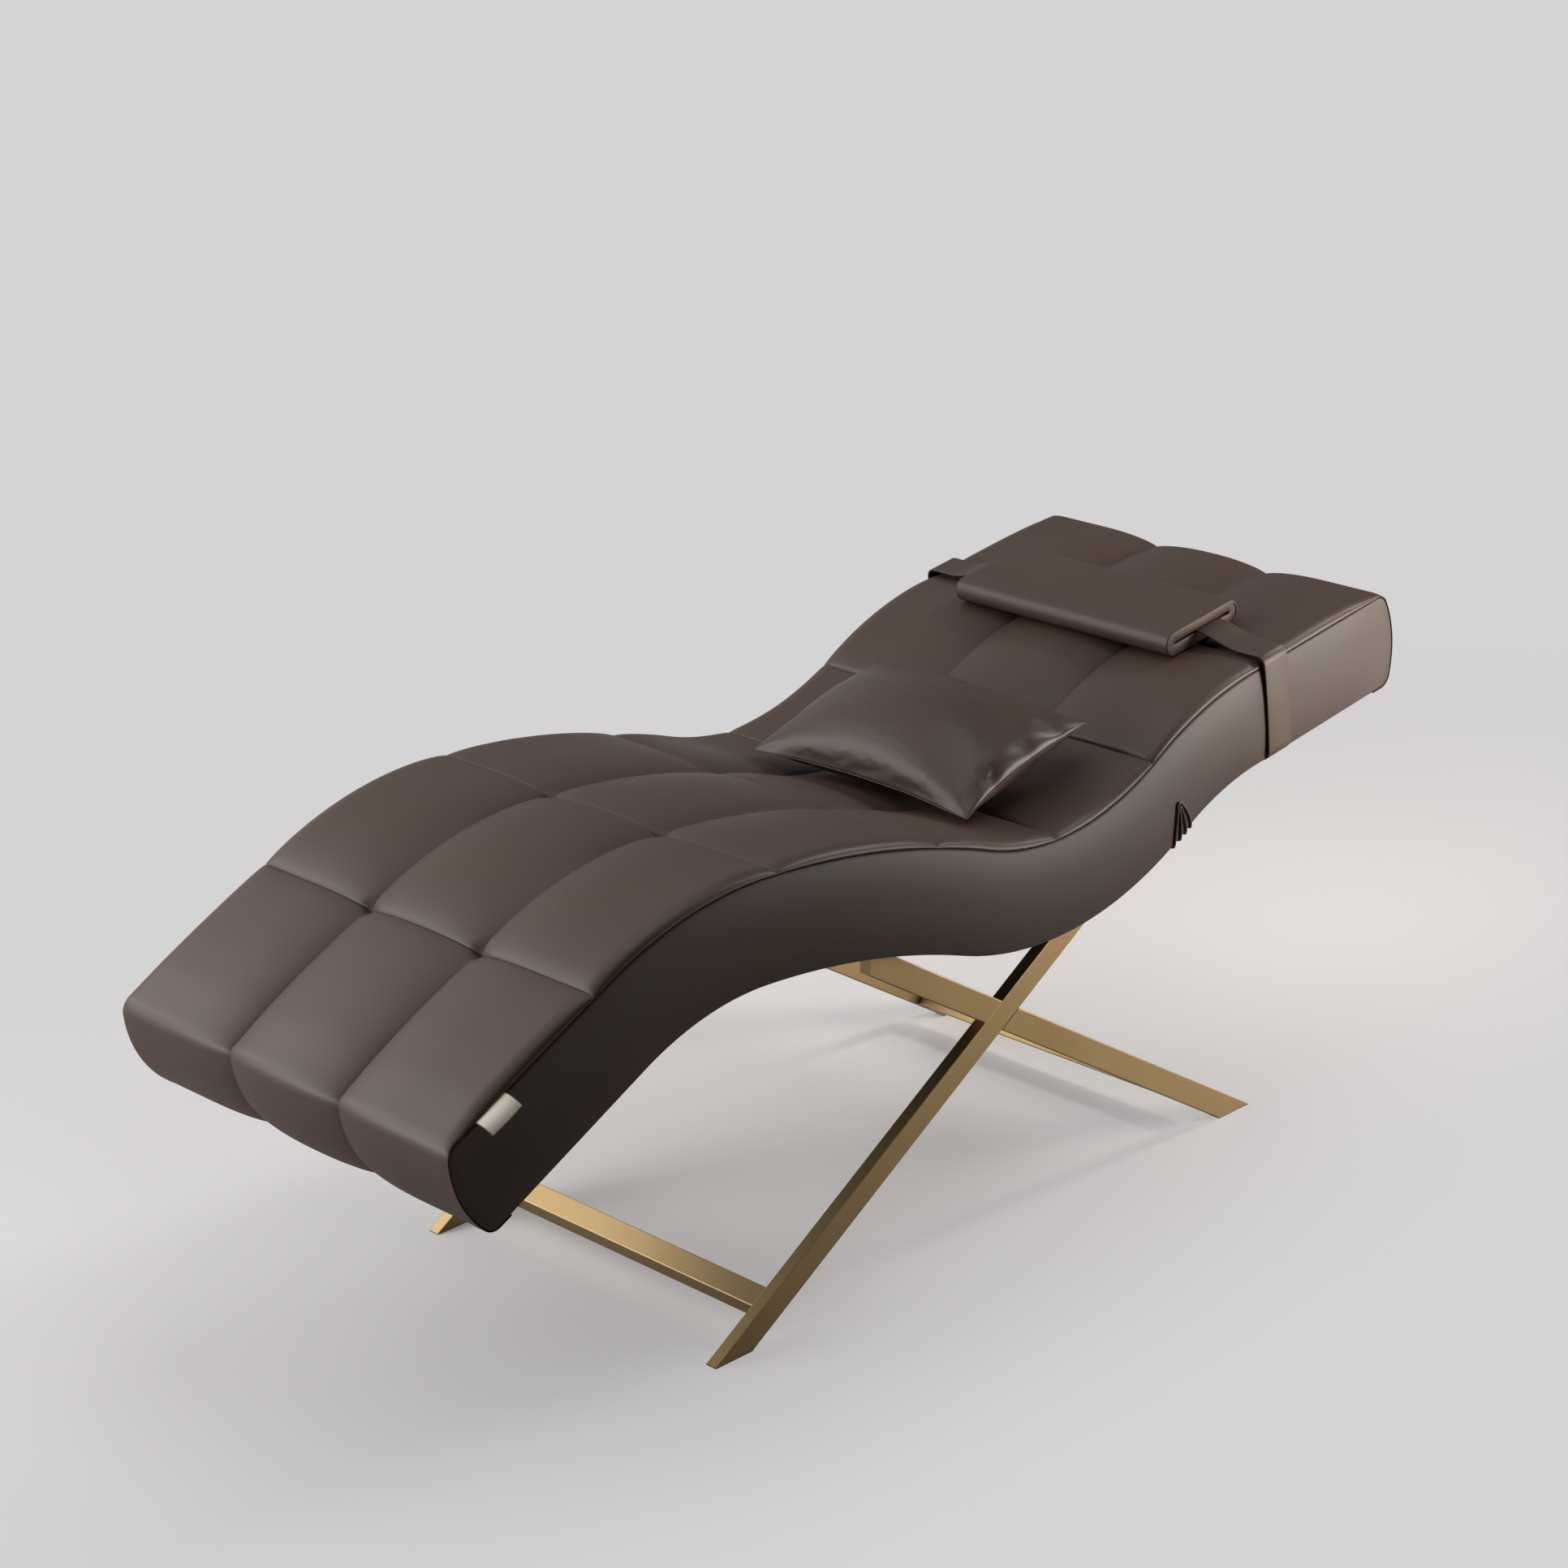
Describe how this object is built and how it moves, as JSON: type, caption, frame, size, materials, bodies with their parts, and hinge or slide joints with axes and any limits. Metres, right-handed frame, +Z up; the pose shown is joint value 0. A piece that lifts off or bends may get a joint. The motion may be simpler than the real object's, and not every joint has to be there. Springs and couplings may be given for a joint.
{
  "type": "eyelash extension bed",
  "caption": "Wave-shaped quilted treatment bed on a crossed flat-tube base, with a loose pillow and a neck pad held by an elastic strap.",
  "frame": {"origin": "on the floor, under the middle of the bed's overall length and width", "axes": "+Z up, +Y towards the head end, +X towards the side with the tab and the loops"},
  "size_m": [0.666, 1.9244, 0.7981],
  "materials": {
    "quilted_leather": "satin, fine grain, dark taupe",
    "side_leather": "satin, fine grain, dark taupe",
    "foam": "open-cell foam, hidden",
    "bent_plywood": "bare bent plywood, hidden",
    "dust_cloth": "matt black non-woven",
    "cream_cloth": "blank cream ribbon",
    "pillow_leather": "soft, slightly glossy",
    "pad_leather": "satin",
    "elastic_band": "taupe band with a leather-like face",
    "satin_brass": "satin, brass-coloured",
    "plate_steel": "black powder coat",
    "glide_plastic": "black"
  },
  "bodies": {
    "bed": {"quilted_top": "quilted_leather", "side_panel_near": "side_leather", "side_panel_far": "side_leather", "foam_core": "foam", "base_board": "bent_plywood", "dust_cover": "dust_cloth", "label_tab": "cream_cloth", "side_loop_outer": "elastic_band", "side_loop_inner": "elastic_band", "near_leg_long": "satin_brass", "near_leg_upper": "satin_brass", "near_leg_lower": "satin_brass", "far_leg_long": "satin_brass", "far_leg_upper": "satin_brass", "far_leg_lower": "satin_brass", "front_crossbar": "satin_brass", "rear_crossbar": "satin_brass", "front_mount_plate": "plate_steel", "rear_mount_plate": "plate_steel", "front_bolt_1": "plate_steel", "front_bolt_2": "plate_steel", "front_bolt_3": "plate_steel", "front_bolt_4": "plate_steel", "rear_bolt_1": "plate_steel", "rear_bolt_2": "plate_steel", "rear_bolt_3": "plate_steel", "rear_bolt_4": "plate_steel", "near_front_glide": "glide_plastic", "near_rear_glide": "glide_plastic", "far_front_glide": "glide_plastic", "far_rear_glide": "glide_plastic"},
    "neck_bolster": {"neck_pad": "pad_leather", "neck_strap": "elastic_band"},
    "pillow": {"pillow": "pillow_leather"}
  },
  "joints": [
    {"name": "neck_pad_slide", "type": "slide", "parent": "bed", "child": "neck_bolster", "axis": [0, 0.9886, 0.1504], "range_m": [0, 0.18]},
    {"name": "pillow_lift", "type": "slide", "parent": "bed", "child": "pillow", "axis": [0, 0, 1], "range_m": [0, 0.3]}
  ]
}
